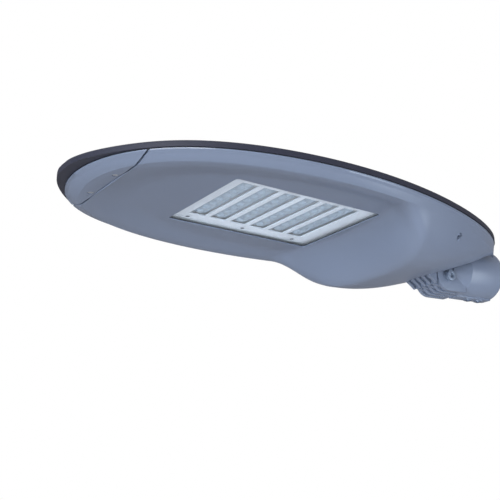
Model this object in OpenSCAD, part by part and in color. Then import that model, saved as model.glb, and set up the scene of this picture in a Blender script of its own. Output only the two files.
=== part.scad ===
/* [Body] */
// Length of the split line between cover and housing, nose to tail
body_len = 646; // [600:1:700]
// Width of the split line at its widest
body_w = 326; // [310:1:360]
// Distance from the nose to the middle of the light window
window_from_nose = 269; // [262:1:285]
// Height of the split line above the window plane, at mid length
split_h = 6; // [5:0.5:8]
// Rise of the split line from mid length to the tail
split_rise = 7.4; // [5:0.2:9]
// Thickness of the die-cast walls
wall = 3; // [2.5:0.1:4]

/* [Flank] */
// Drop of the flank's lower edge below the window plane, at mid length
lip_drop = 6.3; // [4:0.1:9]
// Inward set of the flank's lower edge at the nose
nose_inset = 17.5; // [12:0.5:24]
// Inward set of the flank's lower edge at the tail
tail_inset = 1.5; // [1:0.1:4]

/* [Gear compartment] */
// Deepest drop of the gear compartment below the window plane
belly_depth = 53; // [44:1:60]
// Distance from the window's edge to the foot of the front slope
belly_gap = 4; // [3:0.5:8]
// Length of the front slope
belly_run = 60; // [50:1:80]
// Distance from the crest to where the rear slope meets the window plane
belly_tail = 175; // [165:1:190]

/* [Cover] */
// Thickness of the cover
cover_t = 2.5; // [2:0.1:4]
// Height of the cover's upright band
band_h = 7.5; // [6:0.5:9]
// Rise of the dome above the band
dome_h = 28; // [26:1:34]
// Overhang of the cover at the nose
nose_overhang = 15; // [10:0.5:16]
// Overhang of the cover along the sides
side_overhang = 1.2; // [0.8:0.1:3]
// Thickness of the seal between cover and housing
seal_t = 1; // [0.8:0.1:2]

/* [Nose cap] */
// Distance from the window middle to the nose cap's seam
nose_seam = 230; // [222:1:236]
// Width of the seam
seam_gap = 1.2; // [0.6:0.1:2]

/* [Window] */
// Length of the light window, along the body
window_l = 216; // [200:1:220]
// Width of the light window, across the body
window_w = 161; // [148:1:166]
// Thickness of the lip that the glass rests on
lip_t = 1.6; // [1.2:0.1:2]
// Thickness of the flat seal under the glass
glass_seal_t = 1; // [1:0.1:2.4]
// Thickness of the glass
glass_t = 3; // [3:0.5:5]
// How far the glass reaches past the window on each side
glass_lap = 16; // [14:0.5:18]

/* [Light engine] */
// Number of LED strips across the window's length
strips = 6; // [4:1:6]
// Distance from strip to strip
strip_pitch = 30.5; // [28:0.5:31]
// Width of the bars between the slots of the white plate
bar_w = 7; // [5:0.5:9]
// Length of the slots, across the body
slot_l = 124; // [100:1:130]
// Number of lenses on each strip
lenses = 8; // [6:1:9]
// Thickness of the sheet of the white plate
sheet_t = 1.6; // [1:0.1:2]
// Height of the folded edge of the white plate
tray_h = 6; // [5.6:0.1:7]
// Thickness of the LED boards
board_t = 1.6; // [1:0.1:2]
// Thickness of the heat sink's base
sink_t = 4; // [3:0.5:5]
// Height of the heat sink's fins
fin_h = 9; // [5:0.5:10]

/* [Spigot] */
// Diameter of the pole that the socket takes
pole_d = 60; // [48:1:62]
// Clearance between pole and socket, on the radius
pole_clear = 1; // [0.5:0.1:2]
// Wall of the socket
socket_wall = 6; // [5:0.5:7]
// Distance from the tilt pin to the socket's mouth
arm_len = 98; // [94:1:120]
// Depth of the socket
socket_depth = 62; // [50:1:63]
// Tilt of the spigot above the window plane, in degrees
tilt = 2.5; // [0:0.5:2.5]
// Distance from the window middle to the tilt pin
pin_x = 284; // [280:1:287]
// Drop of the tilt pin below the window plane
pin_drop = 38; // [37:0.5:39]
// Diameter of the tilt pin
pin_d = 10; // [8:0.5:12]
// Thickness of each lug of the tilt joint
lug_t = 5; // [4.4:0.1:5]
// Distance from lug to lug
lug_pitch = 10; // [9.8:0.1:10.4]
// Outer radius of the spigot's lugs
lug_r = 21; // [20:0.5:23]
// Height of the socket's axis above the tilt pin
socket_lift = 15; // [14:0.5:16]

/* [Hidden] */

grey = [0.44, 0.48, 0.56];
dark = [0.15, 0.16, 0.20];
steel = [0.72, 0.73, 0.75];
half_len = body_len / 2;
belly_start = window_l / 2 + belly_gap;
mid_x = half_len - window_from_nose;
fit = 0.05;
pin_z = -pin_drop;
bore_r = pole_d / 2 + pole_clear;
tube_r = bore_r + socket_wall;
arm_root = 29;
mouth_x = pin_x + arm_len * cos(tilt) - socket_lift * sin(tilt);
mouth_z = pin_z + arm_len * sin(tilt) + socket_lift * cos(tilt);
split_tilt = atan(split_rise / half_len);
outer_y = 2 * lug_pitch + lug_t / 2;
hub_half = outer_y + 0.4;
slot_half = max(tube_r, hub_half) + 3;
slot_x = pin_x - lug_r - 3;
chin_x = slot_x - 16;
chin_z = pin_z - 13.5;
slot_step = pin_x + 6;
slot_roof = pin_z + socket_lift + tube_r + 4;
roof_t = 2;
slot_end = mid_x + half_len - 30;
joint_lug_t = lug_pitch - lug_t - 0.4;
side_t = 4;
washer_t = 1.6;
bolt_head_h = 5;
recess_y = outer_y + washer_t + bolt_head_h + 5;

// The white plate hangs under the heat sink, and the boards lie between them
glass_z = lip_t + glass_seal_t;
tray_z = glass_z + glass_t + 0.4;
sink_z = tray_z + tray_h;
board_z = sink_z - board_t;
glass_l = window_l + 2 * glass_lap;
glass_w = window_w + 2 * glass_lap;
curb = 4;
pad_x = glass_l / 2 + curb + 2;
tray_l = glass_l - 12;
tray_w = glass_w - 12;

// Plan outline: a is 0 at the nose and 180 at the tail, and the nose is fuller than the tail
function along(x) = (x - mid_x) / half_len;
function half_w(a) = body_w / 2.046 * sin(a)
    * (1 + 0.223 * cos(a) + 0.06 * pow(cos(a), 3) + 0.085 * pow(cos(a), 4));
function rim_slope(a) = (half_w(a + 0.5) - half_w(a - 0.5)) * 180 / PI;
function rim_run(a) = half_len * sin(a);
function inset(a, d) = let (n = norm([rim_run(a), rim_slope(a)]))
    [mid_x - half_len * cos(a) + d * rim_slope(a) / n, half_w(a) - d * rim_run(a) / n];
end_a = 4;
function swept(u) = end_a + (180 - 2 * end_a) * u;
function station(x) = acos(-max(-0.999, min(0.999, along(x))));

function rim_z(x) = split_h + split_rise * along(x);
function lip_z(x) = -lip_drop + 3.2 * along(x);
function lip_inset(a) = (nose_inset + tail_inset) / 2 + (nose_inset - tail_inset) / 2 * cos(a);
function ease(u) = let (w = max(0, min(1, u))) w * w * (3 - 2 * w);
function reach(x, v) = let (t = min(1, abs(along(x)) * 1.03)) sqrt(t * t + v * v * (1 - t * t));
// Depth of the gear compartment: an S on the front, then a slope that falls away to the tail
function crest_x(v) = belly_start + belly_run - 30 * v * v;
function belly(x, v) = let (back = max(0, x - belly_start - belly_run))
    ease((x - crest_x(v)) / belly_run + 1) * (1 - pow(abs(v), 5.5))
    * max(-4, belly_depth * (1 - 1.04 * pow(back / belly_tail, 1.8)));
// Underside height at x, where v runs from -1 to 1 between the flank's lower edges
function edge_z(x, v) = lip_z(x) * ease((reach(x, v) - 0.74) / 0.23);
function under_z(x, v) = edge_z(x, v) - belly(x, v);
// The inner skin stays level round the window, and drops into the gear compartment past the curb
function inner_z(x, v) = (x < pad_x ? edge_z(x, v) : under_z(x, v)) + wall;
function floor_at(x, y) = let (a = station(x)) under_z(x, y / (half_w(a) - lip_inset(a)));

columns = [1, 0.97, 0.92, 0.86, 0.78, 0.68, 0.55, 0.4, 0.2, 0,
    -0.2, -0.4, -0.55, -0.68, -0.78, -0.86, -0.92, -0.97, -1];
function mirrored(pts) = [for (i = [len(pts) - 1:-1:0]) [pts[i][0], -pts[i][1], pts[i][2]]];

// Half of the flank at station a, set in by t: split line, bulge, then the lower edge
function flank(a, t) = let (r = inset(a, t), m = inset(a, lip_inset(a) * 0.5 + t),
        e = inset(a, lip_inset(a) + t))
    [[r[0], r[1], rim_z(r[0])],
     [m[0], m[1], (rim_z(m[0]) + lip_z(m[0]) + t) / 2 - 0.7],
     [e[0], e[1], lip_z(e[0]) + t]];
function tray_section(a, t) = let (f = flank(a, t), e = f[2])
    concat(f, [for (i = [1:len(columns) - 2]) [e[0], columns[i] * e[1],
        t > 0 ? inner_z(e[0], columns[i]) : under_z(e[0], columns[i])]], mirrored(f));

// Half of the cover's edge at station a, from the seal up to the top of the band
function overhang(a) = side_overhang + (nose_overhang - side_overhang) * pow((1 + cos(a)) / 2, 50);
function band_outer(a) = let (p = inset(a, -overhang(a)), q = inset(a, -overhang(a) + 1.2))
    [[p[0], p[1], rim_z(p[0]) + seal_t],
     [p[0], p[1], rim_z(p[0]) + seal_t + band_h * 0.75],
     [q[0], q[1], rim_z(q[0]) + seal_t + band_h]];
function band_inner(a) = let (p = inset(a, wall + 0.5), q = inset(a, cover_t - overhang(a)))
    [[p[0], p[1], rim_z(p[0]) + seal_t],
     [p[0], p[1], rim_z(p[0]) + seal_t + cover_t],
     [q[0], q[1], rim_z(q[0]) + seal_t + cover_t + 0.1],
     [q[0], q[1], rim_z(q[0]) + seal_t + band_h - cover_t]];
function dome_z(x, v) = let (t = min(1, abs(x - mid_x) / (half_len + side_overhang)))
    rim_z(x) + seal_t + band_h + dome_h * (1 - t * t) * (1 - v * v);
function cover_section(edge, drop) = let (e = edge[len(edge) - 1])
    concat(edge, [for (i = [1:len(columns) - 2])
        [e[0], columns[i] * e[1], dome_z(e[0], columns[i]) - drop]], mirrored(edge));

// Triangles that close a section of k points: a strip over the split line, then a fan
function end_cap(k) = concat([[0, 1, k - 2], [0, k - 2, k - 1]], [for (j = [2:k - 3]) [1, j, j + 1]]);
// A thin shell between an outer and an inner skin, each a row of sections, open along the split
module shell(outer, inner, flip) {
    n = len(outer);
    ko = len(outer[0]);
    ki = len(inner[0]);
    pts = concat([for (s = outer) each s], [for (s = inner) each s]);
    function o(i, j) = i * ko + j;
    function c(i, j) = n * ko + i * ki + j;
    faces = concat(
        [for (i = [0:n - 2], j = [0:ko - 2]) [o(i, j), o(i, j + 1), o(i + 1, j)]],
        [for (i = [0:n - 2], j = [0:ko - 2]) [o(i + 1, j), o(i, j + 1), o(i + 1, j + 1)]],
        [for (i = [0:n - 2], j = [0:ki - 2]) [c(i, j), c(i + 1, j), c(i, j + 1)]],
        [for (i = [0:n - 2], j = [0:ki - 2]) [c(i + 1, j), c(i + 1, j + 1), c(i, j + 1)]],
        [for (i = [0:n - 2]) [o(i, 0), o(i + 1, 0), c(i, 0)]],
        [for (i = [0:n - 2]) [o(i + 1, 0), c(i + 1, 0), c(i, 0)]],
        [for (i = [0:n - 2]) [o(i, ko - 1), c(i, ki - 1), o(i + 1, ko - 1)]],
        [for (i = [0:n - 2]) [o(i + 1, ko - 1), c(i, ki - 1), c(i + 1, ki - 1)]],
        [for (t = end_cap(ko)) [o(0, t[0]), o(0, t[2]), o(0, t[1])]],
        [for (t = end_cap(ko)) [o(n - 1, t[0]), o(n - 1, t[1]), o(n - 1, t[2])]],
        [for (t = end_cap(ki)) [c(0, t[0]), c(0, t[1]), c(0, t[2])]],
        [for (t = end_cap(ki)) [c(n - 1, t[0]), c(n - 1, t[2]), c(n - 1, t[1])]],
        [[o(0, 0), c(0, 0), c(0, ki - 1)], [o(0, 0), c(0, ki - 1), o(0, ko - 1)]],
        [[o(n - 1, 0), c(n - 1, ki - 1), c(n - 1, 0)], [o(n - 1, 0), o(n - 1, ko - 1), c(n - 1, ki - 1)]]);
    polyhedron(pts, flip ? [for (f = faces) [f[2], f[1], f[0]]] : faces, convexity = 6);
}

// Everything is laid out from the window's middle, and the socket's mouth is put on the origin
module place() {
    translate([-mouth_x, 0, -mouth_z]) children();
}
module both_sides() {
    children();
    mirror([0, 1, 0]) children();
}
module screw(r, length, head_r, head_h) {
    translate([0, 0, -length]) cylinder(r = r, h = length + 0.01, $fn = 24);
    cylinder(r = head_r, h = head_h, $fn = 24);
}
module rounded_plate(l, w, r, h) {
    linear_extrude(h) polygon([for (q = [0:3], s = [0:4])
        let (b = q * 90 + s * 22.5, sx = q == 0 || q == 3 ? 1 : -1, sy = q < 2 ? 1 : -1)
        [sx * (l / 2 - r) + r * cos(b), sy * (w / 2 - r) + r * sin(b)]]);
}

// Stations along the body, closer together on the front slope of the gear compartment
steps = concat([for (i = [0:14]) i / 32], [for (i = [0:11]) 0.46 + i * 0.0125],
    [for (i = [0:13]) 0.61 + i * 0.03]);
seam_a = station(-nose_seam);

module beyond_seam(gap) {
    translate([-nose_seam + gap, -body_w, -body_w]) cube(2 * body_w + body_len);
}
// Upright wall along the slot, from the floor's thickness up to the roof
module slot_side(y, thick, x0, x1) {
    translate([0, y + thick, 0]) rotate([90, 0, 0]) linear_extrude(thick)
        polygon(concat([[x1, slot_roof + roof_t], [x0, slot_roof + roof_t]],
            [for (i = [0:12]) let (x = x0 + i * (x1 - x0) / 12)
                [x, min(rim_z(x), floor_at(x, y + thick / 2)) + 1]]));
}
// Upright wall across the slot at x, between y0 and y1
module slot_cross(x, y0, y1) {
    translate([x, 0, 0]) rotate([90, 0, 90]) linear_extrude(wall)
        polygon(concat([[y1, slot_roof + roof_t], [y0, slot_roof + roof_t]],
            [for (i = [0:8]) let (y = y0 + i * (y1 - y0) / 8) [y, floor_at(x, y) + 1]]));
}
module pin_cylinder(r, y0, y1) {
    translate([pin_x, y0, pin_z]) rotate([-90, 0, 0]) cylinder(r = r, h = y1 - y0, $fn = 48);
}
// Lugs of the housing, which stand between the spigot's lugs
module joint_lugs() {
    for (k = [0.5, 1.5]) translate([0, k * lug_pitch - joint_lug_t / 2, 0]) {
        translate([pin_x, 0, pin_z]) rotate([-90, 0, 0]) cylinder(r = lug_r - 4, h = joint_lug_t, $fn = 64);
        translate([slot_x - 1, 0, pin_z]) cube([pin_x + 1 - slot_x, joint_lug_t, lug_r - 4]);
        translate([0, joint_lug_t, 0]) rotate([90, 0, 0]) linear_extrude(joint_lug_t)
            polygon([[slot_x - 1, chin_z], [pin_x - 4, pin_z - lug_r + 4.5], [pin_x, pin_z], [slot_x - 1, pin_z + 1]]);
    }
}
// Fairing under the belly that leads down to the lugs
module chin() {
    translate([0, hub_half, 0]) rotate([90, 0, 0]) linear_extrude(2 * hub_half)
        polygon([[slot_x, chin_z], [slot_x, floor_at(slot_x, 0) + wall], [chin_x, floor_at(chin_x, 0) + wall],
            [chin_x, floor_at(chin_x, 0) + 0.5]]);
}

// Places of the screws and posts inside the body
cover_screws_rear = [mid_x + 0.495 * half_len, 0.34 * body_w];
cover_screws_front = [-nose_seam - 11, 0.178 * body_w];
nose_screw = [-nose_seam - 6, 0.098 * body_w];
sink_posts = [glass_l / 2 + curb + 7, 66];
clip_x = [-80, 0, 80];
clip_y = glass_w / 2 + curb + 5;
tray_floor = -14;
gear_x = [belly_start + 38, belly_start + 128];
gear_y = 62;
post_r = 5;
pilot = 2;
bite = 4;

module post(x, y, top, r) {
    low = max([for (dx = [-r, r], dy = [-r, 0, r]) floor_at(x + dx, y + dy)]) + 0.6;
    translate([x, y, low]) cylinder(r = r, h = top - low, $fn = 24);
}
module inner_posts() {
    for (sx = [-1, 1]) post(sx * sink_posts[0], sink_posts[1], sink_z, post_r);
    for (x = clip_x) post(x, clip_y, glass_z + glass_t, post_r);
    for (x = gear_x) post(x, gear_y, tray_floor, post_r);
    post(cover_screws_rear[0], cover_screws_rear[1], rim_z(cover_screws_rear[0]) - 1, post_r + 2);
}
module inner_pilots() {
    for (sx = [-1, 1]) pilot_hole(sx * sink_posts[0], sink_posts[1], sink_z);
    for (x = clip_x) pilot_hole(x, clip_y, glass_z + glass_t);
    for (x = gear_x) pilot_hole(x, gear_y, tray_floor);
}
module pilot_hole(x, y, top) {
    translate([x, y, top - bite - 0.5]) cylinder(r = pilot + fit, h = bite + 1.5, $fn = 24);
}
rear_head_z = floor_at(cover_screws_rear[0], cover_screws_rear[1]) + 4;
module rear_screw_hole() {
    translate([cover_screws_rear[0], cover_screws_rear[1], -60]) {
        cylinder(r = pilot + 0.3, h = 90, $fn = 24);
        cylinder(r = 4.1, h = rear_head_z + 60, $fn = 32);
    }
}
module nose_tongues() {
    translate([-nose_seam - 12, nose_screw[1] - 8, nose_floor + 0.5])
        cube([14 + wall, 16, 5]);
    translate([-nose_seam - 20, cover_screws_front[1] - 9, rim_z(-nose_seam) - 0.4])
        cube([22 + wall, 18, 3]);
}
nose_floor = floor_at(nose_screw[0], nose_screw[1]) + wall;
gland_z = slot_roof - 10;

// Open room for the spigot under the tail
module slot_box() {
    translate([slot_x, -hub_half, -90]) cube([body_len, 2 * hub_half, 90 + slot_roof]);
    translate([slot_step, -slot_half, -90]) cube([body_len, 2 * slot_half, 90 + slot_roof]);
}
module body_shell() {
    intersection() {
        shell([for (s = steps) tray_section(seam_a - 4 + (180 - seam_a) * s, 0)],
            [for (s = steps) tray_section(seam_a + 2.5 + (173.5 - seam_a) * s, wall)], false);
        beyond_seam(seam_gap / 2);
    }
}

module housing() {
    color(grey) place() difference() {
        union() {
            difference() {
                body_shell();
                slot_box();
            }
            translate([0, 0, wall - 1])
                rounded_plate(glass_l + 1 + 2 * curb, glass_w + 1 + 2 * curb, 8, glass_z + glass_t - wall + 1);
            slot_cross(slot_x - wall, -hub_half - side_t, hub_half + side_t);
            translate([slot_x - wall, -slot_half - wall, slot_roof])
                cube([slot_end - slot_x + wall, 2 * (slot_half + wall), roof_t]);
            chin();
            both_sides() {
                slot_side(hub_half, side_t, slot_x - wall, slot_step);
                slot_side(slot_half, wall, slot_step - wall, slot_end);
                slot_cross(slot_step - wall, hub_half, slot_half + wall);
                joint_lugs();
                inner_posts();
                nose_tongues();
            }
        }
        translate([0, 0, -20]) rounded_plate(window_l, window_w, 4, 60);
        translate([0, 0, lip_t]) rounded_plate(glass_l + 1, glass_w + 1, 6, 40);
        both_sides() {
            pin_cylinder(10.5, hub_half - 0.5, recess_y);
            inner_pilots();
            rear_screw_hole();
            translate([nose_screw[0], nose_screw[1], nose_floor - 5]) cylinder(r = 1.5 + fit, h = 9.5, $fn = 24);
            translate([cover_screws_front[0], cover_screws_front[1], -20]) cylinder(r = pilot + 0.3, h = 40, $fn = 24);
        }
        pin_cylinder(pin_d / 2 + fit, -recess_y, recess_y);
        translate([slot_x - 2 * wall, 0, gland_z]) rotate([0, 90, 0]) cylinder(r = 8 + fit, h = 3 * wall, $fn = 48);
    }
}

// The cap covers the nose, and its middle reaches almost to the housing
module nose_cap() {
    color(grey) place() difference() {
        intersection() {
            shell([for (s = [0:12]) tray_section(end_a + (seam_a + 4) * s / 12, 0)],
                [for (s = [0:12]) tray_section(end_a + (seam_a + 4) * s / 12, wall)], false);
            translate([-body_len, -body_w, -body_w]) cube([body_len - nose_seam - seam_gap / 2, 2 * body_w, 2 * body_w]);
        }
        both_sides() translate([nose_screw[0], nose_screw[1], nose_floor - wall - 2]) {
            cylinder(r = 1.5 + fit, h = wall + 4, $fn = 24);
            cylinder(r = 3.6, h = 4, $fn = 32);
        }
    }
}
module nose_screws() {
    color(steel) place() both_sides()
        translate([nose_screw[0], nose_screw[1], nose_floor - wall + 2]) mirror([0, 0, 1]) screw(1.5, bite, 3.3, 1.6);
}
module cover_screws() {
    color(steel) place() both_sides() {
        translate([cover_screws_rear[0], cover_screws_rear[1], rear_head_z])
            mirror([0, 0, 1]) screw(pilot, rim_z(cover_screws_rear[0]) + 7 - rear_head_z, 3.8, 3);
        translate([cover_screws_front[0], cover_screws_front[1], rim_z(-nose_seam) - 0.4])
            mirror([0, 0, 1]) screw(pilot, 8, 3.5, 2);
    }
}

module top_cover() {
    color(dark) place() difference() {
        union() {
            shell([for (s = [0:36]) cover_section(band_outer(swept(s / 36)), 0)],
                [for (s = [0:36]) cover_section(band_inner(swept(s / 36)), cover_t)], true);
            both_sides() {
                cover_post(cover_screws_rear, rim_z(cover_screws_rear[0]) + 0.2);
                cover_post(cover_screws_front, rim_z(-nose_seam) + 2.6 + 0.2);
            }
        }
        both_sides() for (p = [cover_screws_rear, cover_screws_front])
            translate([p[0], p[1], -20]) cylinder(r = pilot + fit, h = 20 + rim_z(p[0]) + 8.5, $fn = 24);
        translate([pin_x, -slot_half - wall - 1, -20]) cube([body_len, 2 * (slot_half + wall + 1), 20.4 + slot_roof + roof_t]);
    }
}
module cover_post(p, low) {
    high = dome_z(p[0], p[1] / half_w(station(p[0]))) - cover_t + 1;
    translate([p[0], p[1], low]) cylinder(r = 4.5, h = high - low, $fn = 24);
}
module cover_seal() {
    color(dark) place() difference() {
        translate([mid_x, 0, split_h]) rotate([0, -split_tilt, 0]) difference() {
            linear_extrude(seal_t) polygon(split_outline(0.6));
            translate([0, 0, -1]) linear_extrude(seal_t + 2) polygon(split_outline(wall - 0.4));
        }
        translate([slot_x, -slot_half - wall, -90]) cube([body_len, 2 * (slot_half + wall), 200]);
    }
}
function split_outline(d) = let (side = [for (s = [0:40]) let (p = inset(swept(s / 40), d)) [p[0] - mid_x, p[1]]])
    concat(side, [for (i = [40:-1:0]) [side[i][0], -side[i][1]]]);

module window_glass() {
    color([0.85, 0.92, 0.95, 0.35]) place() translate([0, 0, glass_z]) rounded_plate(glass_l, glass_w, 5, glass_t);
}
module glass_seal() {
    color(dark) place() translate([0, 0, lip_t]) difference() {
        rounded_plate(glass_l, glass_w, 5, glass_seal_t);
        translate([0, 0, -1]) rounded_plate(window_l + 0.4, window_w + 0.4, 4, glass_seal_t + 2);
    }
}
clip_t = 1.5;
module glass_clips() {
    color(steel) place() both_sides() for (x = clip_x) difference() {
        translate([x - 8, glass_w / 2 - 6, glass_z + glass_t]) cube([16, clip_y + 4 - glass_w / 2 + 6, clip_t]);
        translate([x, clip_y, 0]) cylinder(r = pilot + 0.3, h = 40, $fn = 24);
    }
}
module clip_screws() {
    color(steel) place() both_sides() for (x = clip_x)
        translate([x, clip_y, glass_z + glass_t + clip_t]) screw(pilot, clip_t + bite, 3.5, 2);
}

// White plate with a slot under each LED board
slot_w = strip_pitch - bar_w;
function strip_x(i) = (i - (strips - 1) / 2) * strip_pitch;
plate_screw_x = [-83, 1, 83];
plate_screw_y = (slot_l / 2 + window_w / 2) / 2 + 2.5;
module slot_plate() {
    color([0.9, 0.92, 0.96]) place() translate([0, 0, tray_z]) difference() {
        rounded_plate(tray_l, tray_w, 4, tray_h);
        translate([0, 0, sheet_t]) rounded_plate(tray_l - 2 * sheet_t, tray_w - 2 * sheet_t, 3, tray_h);
        for (i = [0:strips - 1]) translate([strip_x(i) - slot_w / 2, -slot_l / 2, -1]) cube([slot_w, slot_l, tray_h]);
        both_sides() for (x = plate_screw_x)
            translate([x, plate_screw_y, -1]) cylinder(r = 1.5 + fit, h = tray_h, $fn = 24);
    }
}
module plate_screws() {
    color(steel) place() both_sides() for (x = plate_screw_x)
        translate([x, plate_screw_y, tray_z]) mirror([0, 0, 1]) screw(1.5, tray_h + 2.5, 2.6, 0.35);
}
module led_board(i) {
    color([0.75, 0.8, 0.9]) place() translate([strip_x(i) - slot_w / 2, -slot_l / 2 - 1, board_z])
        cube([slot_w, slot_l + 2, board_t]);
}
module lens_strip(i) {
    base_t = 1;
    color([0.8, 0.88, 0.95, 0.6]) place() translate([strip_x(i), 0, board_z - base_t]) {
        translate([-slot_w / 2 + 1, -slot_l / 2 + 1, 0]) cube([slot_w - 2, slot_l - 2, base_t]);
        for (k = [0:lenses - 1]) translate([0, (k - (lenses - 1) / 2) * slot_l / lenses, 0.01])
            mirror([0, 0, 1]) cylinder(r1 = 6, r2 = 3.6, h = 2.4, $fn = 32);
    }
}
module heat_sink() {
    sink_l = 2 * sink_posts[0] + 2 * post_r;
    sink_w = 2 * sink_posts[1] + 2 * post_r;
    fins = 13;
    color([0.7, 0.72, 0.74]) place() translate([0, 0, sink_z]) difference() {
        union() {
            translate([-sink_l / 2, -sink_w / 2, 0]) cube([sink_l, sink_w, sink_t]);
            translate([-tray_l / 2, -tray_w / 2, 0]) cube([tray_l, tray_w, sink_t]);
            for (k = [0:fins - 1]) translate([-tray_l / 2 + 22, (k - (fins - 1) / 2) * (tray_w - 60) / (fins - 1) - 1, 0])
                cube([tray_l - 42, 2, sink_t + fin_h]);
        }
        both_sides() {
            for (sx = [-1, 1]) translate([sx * sink_posts[0], sink_posts[1], -1]) cylinder(r = pilot + 0.3, h = 9, $fn = 24);
            for (x = plate_screw_x) translate([x, plate_screw_y, -1]) cylinder(r = 1.5 + fit, h = sink_t, $fn = 24);
        }
    }
}
module sink_screws() {
    color(steel) place() both_sides() for (sx = [-1, 1])
        translate([sx * sink_posts[0], sink_posts[1], sink_z + sink_t]) screw(pilot, sink_t + bite, 3.5, 2.4);
}

// Gear tray with the driver, the surge protector and the terminal block
tray_t = 2;
gear_z = tray_floor + tray_t;
driver_size = [92, 58, 24];
driver_at = [gear_x[0] + 3, -gear_y + 10];
module gear_tray() {
    color(steel) place() difference() {
        translate([gear_x[0] - 7, -gear_y - 7, tray_floor]) cube([gear_x[1] - gear_x[0] + 9, 2 * gear_y + 14, tray_t]);
        both_sides() for (x = gear_x) translate([x, gear_y, tray_floor - 1]) cylinder(r = pilot + 0.3, h = 4, $fn = 24);
        for (x = driver_holes) translate([x, driver_y, tray_floor - 1]) cylinder(r = 1.5 + fit, h = 4, $fn = 24);
    }
}
module tray_screws() {
    color(steel) place() both_sides() for (x = gear_x)
        translate([x, gear_y, gear_z]) screw(pilot, tray_t + bite, 3.5, 2.2);
}
driver_y = driver_at[1] + driver_size[1] / 2;
driver_holes = [driver_at[0] + 4, driver_at[0] + driver_size[0] - 4];
module led_driver() {
    foot = 8;
    color([0.9, 0.9, 0.88]) place() difference() {
        translate([driver_at[0], driver_at[1], gear_z]) {
            cube([driver_size[0], driver_size[1], 2]);
            translate([foot, 0, 0]) cube([driver_size[0] - 2 * foot, driver_size[1], driver_size[2]]);
        }
        for (x = driver_holes) translate([x, driver_y, gear_z - 1]) cylinder(r = 1.5 + fit, h = 4, $fn = 24);
    }
}
module driver_screws() {
    color(steel) place() for (x = driver_holes) translate([x, driver_y, gear_z + 2]) screw(1.5, 3.8, 2.8, 1.8);
}
module surge_protector() {
    size = [46, 34, 20];
    color([0.2, 0.2, 0.22]) place() translate([driver_at[0] + 2, 8, gear_z]) {
        cube(size);
        for (k = [0:1]) translate([size[0], 9 + 14 * k, 0.6 * size[2]]) rotate([0, 90, 0]) cylinder(r = 3, h = 4, $fn = 24);
    }
}
module terminal_block() {
    poles = 5;
    pole_w = 9;
    color([0.85, 0.85, 0.82]) place() translate([driver_at[0] + 62, 8, gear_z]) difference() {
        cube([22, pole_w * poles, 16]);
        for (k = [0:poles - 1]) {
            translate([6, pole_w * (k + 0.5), 10]) cylinder(r = 2.6, h = 7, $fn = 24);
            translate([16, pole_w * k + 1.5, 4]) cube([7, 6, 7]);
        }
    }
}
module cable_gland() {
    color([0.25, 0.26, 0.28]) place() translate([slot_x, 0, gland_z]) rotate([0, 90, 0]) difference() {
        union() {
            translate([0, 0, -wall - 8]) cylinder(r = 8, h = wall + 8.01, $fn = 48);
            cylinder(r = 9.6, h = 4, $fn = 6);
            translate([0, 0, 4]) cylinder(r1 = 8.4, r2 = 7, h = 4, $fn = 48);
        }
        translate([0, 0, -20]) cylinder(r = 5, h = 40, $fn = 32);
    }
}
module gland_nut() {
    color([0.25, 0.26, 0.28]) place() translate([slot_x - wall - 5, 0, gland_z]) rotate([0, 90, 0]) difference() {
        cylinder(r = 11, h = 5, $fn = 6);
        translate([0, 0, -1]) cylinder(r = 8 + fit, h = 7, $fn = 48);
    }
}

// Spigot: lugs about the tilt pin, then the round socket for the pole
set_screws = [arm_len - 38, arm_len - 17];
screw_end = socket_lift - tube_r - 3.4;
module spigot_frame() {
    place() translate([pin_x, 0, pin_z]) rotate([0, -tilt, 0]) children();
}
module spigot() {
    rib_z = socket_lift - tube_r - 0.8;
    color(grey) spigot_frame() difference() {
        union() {
            both_sides() for (k = [0:2]) translate([0, k * lug_pitch - lug_t / 2, 0]) {
                rotate([-90, 0, 0]) cylinder(r = lug_r, h = lug_t, $fn = 72);
                translate([0, 0, -lug_r]) cube([arm_root + 3, lug_t, lug_r + 18]);
            }
            translate([lug_r, -outer_y, -lug_r]) cube([arm_root + 3 - lug_r, 2 * outer_y, lug_r + 18]);
            translate([arm_root, 0, socket_lift]) rotate([0, 90, 0]) {
                translate([0, 0, 10 - arm_root]) cylinder(r1 = outer_y + 2, r2 = tube_r, h = arm_root - 4, $fn = 96);
                translate([0, 0, 5.9]) cylinder(r = tube_r, h = arm_len - arm_root - 5.9, $fn = 96);
            }
            translate([arm_root, -8, rib_z]) cube([arm_len - arm_root, 16, 6]);
            for (x = set_screws) translate([x, 0, rib_z - 1.2]) cylinder(r = 7, h = 8, $fn = 40);
        }
        translate([arm_len - socket_depth, 0, socket_lift]) rotate([0, 90, 0]) cylinder(r = bore_r, h = arm_len, $fn = 96);
        translate([0, 0, socket_lift + 15]) rotate([0, 90, 0]) cylinder(r = 5.5, h = 60, $fn = 32);
        rotate([-90, 0, 0]) translate([0, 0, -body_w]) cylinder(r = pin_d / 2 + fit, h = 2 * body_w, $fn = 48);
        both_sides() for (k = [0, 1]) translate([-tube_r, k * lug_pitch + lug_t / 2, -tube_r])
            cube([tube_r + lug_r, lug_pitch - lug_t, 3 * tube_r]);
        for (x = set_screws) translate([x, 0, -2 * tube_r]) cylinder(r = 4 + fit, h = 2 * tube_r, $fn = 32);
    }
}
module socket_screws() {
    color(steel) spigot_frame() for (x = set_screws) difference() {
        translate([x, 0, screw_end]) cylinder(r = 4, h = socket_lift - bore_r - 0.5 - screw_end, $fn = 32);
        translate([x, 0, screw_end - 1]) cylinder(r = 2.3, h = 4, $fn = 6);
    }
}
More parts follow.
